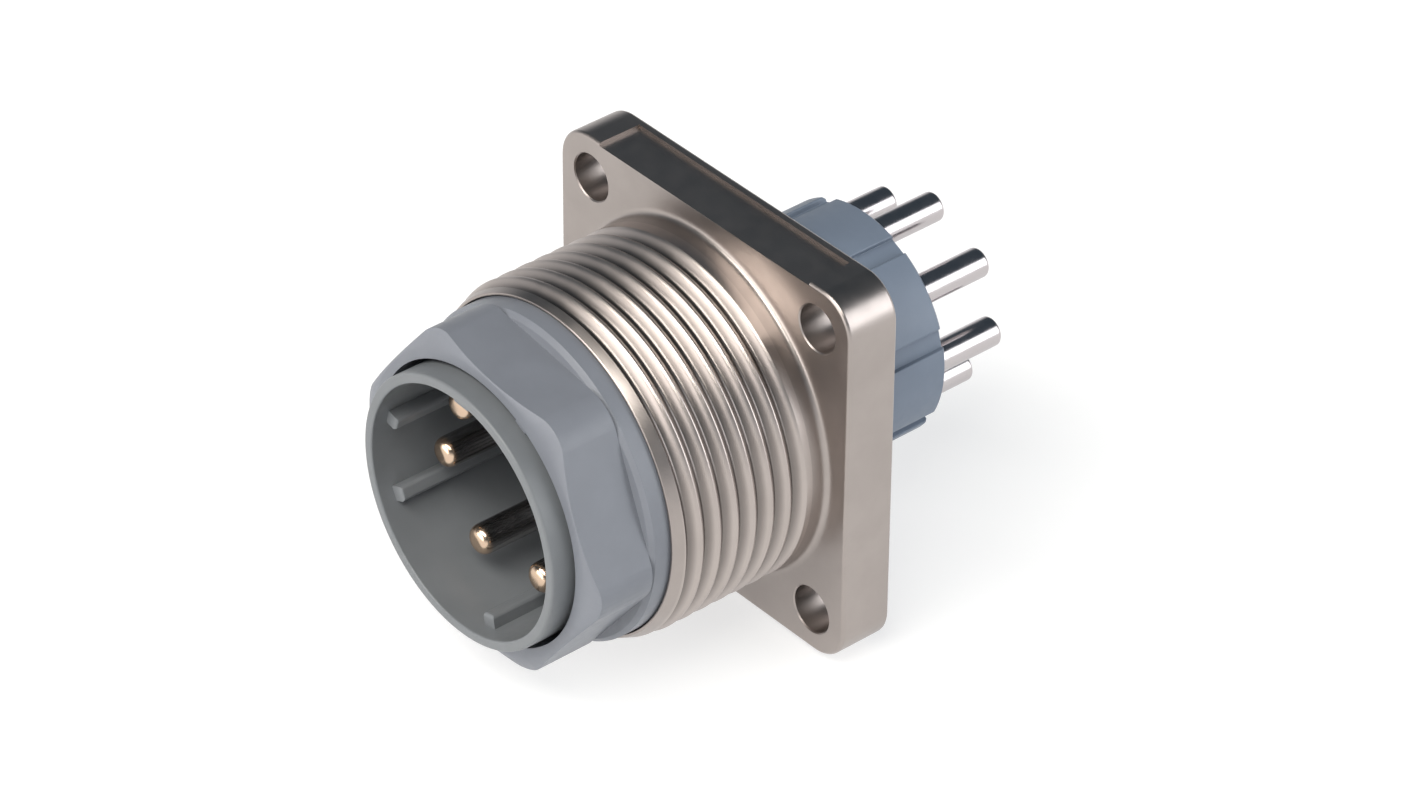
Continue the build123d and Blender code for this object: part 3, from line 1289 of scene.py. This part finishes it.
@dataclass
class Studio:
    """Floor, lamps, world and the camera of the photograph."""

    azimuth: float = 49.37
    elevation: float = 35.89
    roll: float = 0.443
    focal_pixels: float = 5858.0
    image_width: int = 1420
    sensor_width: float = 36.0
    offset_right: float = 2.3414
    offset_up: float = 1.7751
    distance: float = 362.54
    nearest_seen: float = 10.0
    floor_side: float = 2000.0
    floor_gap: float = 0.5
    floor_colour: Triple = (0.9, 0.9, 0.9)
    floor_roughness: float = 0.8
    floor_shade: float = 0.4
    floor_glow: float = 0.68
    wall_colour: Triple = (0.84, 0.85, 0.87)
    wall_top: float = 0.03
    ceiling_colour: Triple = (0.055, 0.075, 0.095)
    ceiling_edge: float = 0.42
    boxes: tuple[SoftBox, ...] = (
        SoftBox("right_rear", (0.765, 0.5275, 0.36), 38.0, 38.0, 3.2, (0.96, 0.98, 1.0)),
        SoftBox("overhead_front", (0.14, -0.54, 0.83), 50.0, 22.0, 9.5, (1.0, 0.97, 0.91)),
        SoftBox("front_fill", (-0.10, -0.94, 0.30), 50.0, 34.0, 3.4, (1.0, 0.96, 0.92)),
    )

    def axes(self) -> tuple[Vector, Vector, Vector]:
        """The camera's own directions.

        Returns:
            Its right, up and back directions.
        """
        turn, lift, roll = radians(self.azimuth), radians(self.elevation), radians(self.roll)
        back = Vector((sin(turn) * cos(lift), -cos(turn) * cos(lift), sin(lift)))
        level = Vector((cos(turn), sin(turn), 0))
        rise = Vector((-sin(turn) * sin(lift), cos(turn) * sin(lift), cos(lift)))
        right = cos(roll) * level + sin(roll) * rise
        up = -sin(roll) * level + cos(roll) * rise
        return right, up, back

    def camera(self) -> None:
        """Sets the camera where the photograph was taken from."""
        right, up, back = self.axes()
        place = (back * self.distance - right * self.offset_right - up * self.offset_up) * MM
        data = bpy.data.cameras.new("photo_camera")
        data.sensor_width = self.sensor_width
        data.lens = self.focal_pixels / self.image_width * self.sensor_width
        data.clip_start = self.nearest_seen * MM
        camera = bpy.data.objects.new("photo_camera", data)
        bpy.context.scene.collection.objects.link(camera)
        turn = Matrix((right, up, back)).transposed().to_4x4()
        camera.matrix_world = Matrix.Translation(place) @ turn
        bpy.context.scene.camera = camera

    def lamp(self, box: SoftBox) -> None:
        """Hangs one soft box so that it looks at the object.

        Args:
            box: Where it hangs and how bright it looks.
        """
        data = bpy.data.lights.new(box.name, "AREA")
        data.shape = "RECTANGLE"
        data.size = box.span(box.width)
        data.size_y = box.span(box.height)
        data.energy = box.power()
        data.color = box.colour
        lamp = bpy.data.objects.new(box.name, data)
        bpy.context.scene.collection.objects.link(lamp)
        lamp.location = Vector(box.direction).normalized() * box.distance * MM
        lamp.rotation_euler = lamp.location.to_track_quat("Z", "Y").to_euler()

    def floor_finish(self) -> Material:
        """A pale floor that glows to white only where the camera or a reflection sees it.

        Returns:
            The material.
        """
        sketch = Sketch("pale_floor")
        sketch.shader.inputs["Base Color"].default_value = (*self.floor_colour, 1)
        sketch.shader.inputs["Roughness"].default_value = self.floor_roughness
        path = sketch.tree.nodes.new("ShaderNodeLightPath")
        seen = path.outputs["Is Camera Ray"]
        for kind in ("Is Glossy Ray", "Is Transmission Ray"):
            seen = sketch.node("Math", {0: seen, 1: path.outputs[kind]}, "Value", operation="MAXIMUM")
        shade = (self.floor_shade, self.floor_shade, self.floor_shade, 1)
        pale = sketch.node("BsdfDiffuse", {"Color": shade}, "BSDF")
        glow = sketch.node("Emission", {"Strength": self.floor_glow}, "Emission")
        shown = sketch.node("AddShader", {0: pale, 1: glow}, "Shader")
        chosen = sketch.node("MixShader", {0: seen, 1: sketch.shader.outputs["BSDF"], 2: shown}, "Shader")
        sketch.link(chosen, sketch.output.inputs["Surface"])
        return sketch.material

    def floor(self) -> None:
        """The pale floor, just below the lowest edge of the flange."""
        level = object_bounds()[0][2] - self.floor_gap * MM
        bpy.ops.object.select_all(action="DESELECT")
        bpy.ops.mesh.primitive_plane_add(size=self.floor_side * MM, location=(0, 0, level))
        floor = bpy.context.object
        floor.name = "floor"
        floor.data.materials.append(self.floor_finish())
        floor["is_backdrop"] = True

    def world(self) -> None:
        """White walls round a studio with a dark ceiling, one soft blend by height."""
        world = bpy.data.worlds.new("studio")
        bpy.context.scene.world = world
        world.use_nodes = True
        sheet = NodeSheet(world.node_tree)
        direction = sheet.node("TexCoord", {}, "Generated")
        rise = sheet.node("SeparateXYZ", {"Vector": direction}, "Z")
        height = sheet.node("MapRange", {
            "Value": rise, "From Min": self.wall_top, "From Max": self.ceiling_edge}, "Result",
            interpolation_type="SMOOTHSTEP")
        colour = sheet.node("Mix", {
            "Factor": height, "A": (*self.wall_colour, 1), "B": (*self.ceiling_colour, 1)}, "Result",
            data_type="RGBA")
        sky = sheet.node("Background", {"Color": colour}, "Background")
        output = sheet.tree.nodes.new("ShaderNodeOutputWorld")
        sheet.link(sky, output.inputs["Surface"])

    def build(self) -> None:
        """Sets up everything that isn't the object."""
        self.camera()
        self.floor()
        self.world()
        for box in self.boxes:
            self.lamp(box)
        bpy.context.scene.view_settings.view_transform = "Standard"


def dress_inner_pieces(palette: Palette) -> None:
    """Gives the CAD nodes that stay inside their finishes.

    Args:
        palette: The finishes.
    """
    finishes = {
        "slide_washer": palette.washer.build(),
        "housing_seal": palette.seal.build(),
        "earth_spring": palette.spring.build(),
    }
    for node, material in finishes.items():
        for material_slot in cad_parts[node].material_slots:
            material_slot.material = material
        log.info("%s: dressed", node)


def main() -> None:
    logging.basicConfig(level=logging.INFO, format="%(name)s %(message)s")
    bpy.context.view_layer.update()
    palette = Palette()
    stack = Stack()
    insulator = ends("rear_insulator")
    contacts = ContactRing(ends("contact_1"), insulator.front)
    Housing(ends("housing"), stack).build(palette.shell.build())
    ClampRing(ends("clamp_ring"), stack).build(palette.ring.build())
    carrier = Carrier(ends("contact_carrier"), ends("slide_washer"), stack, contacts)
    carrier.build(palette.carrier.build())
    RearInsulator(insulator, stack, contacts).build(palette.insulator.build())
    contacts.build(palette.pin.build(contacts.ends))
    dress_inner_pieces(palette)
    Studio().build()


if __name__ == "__main__":
    main()
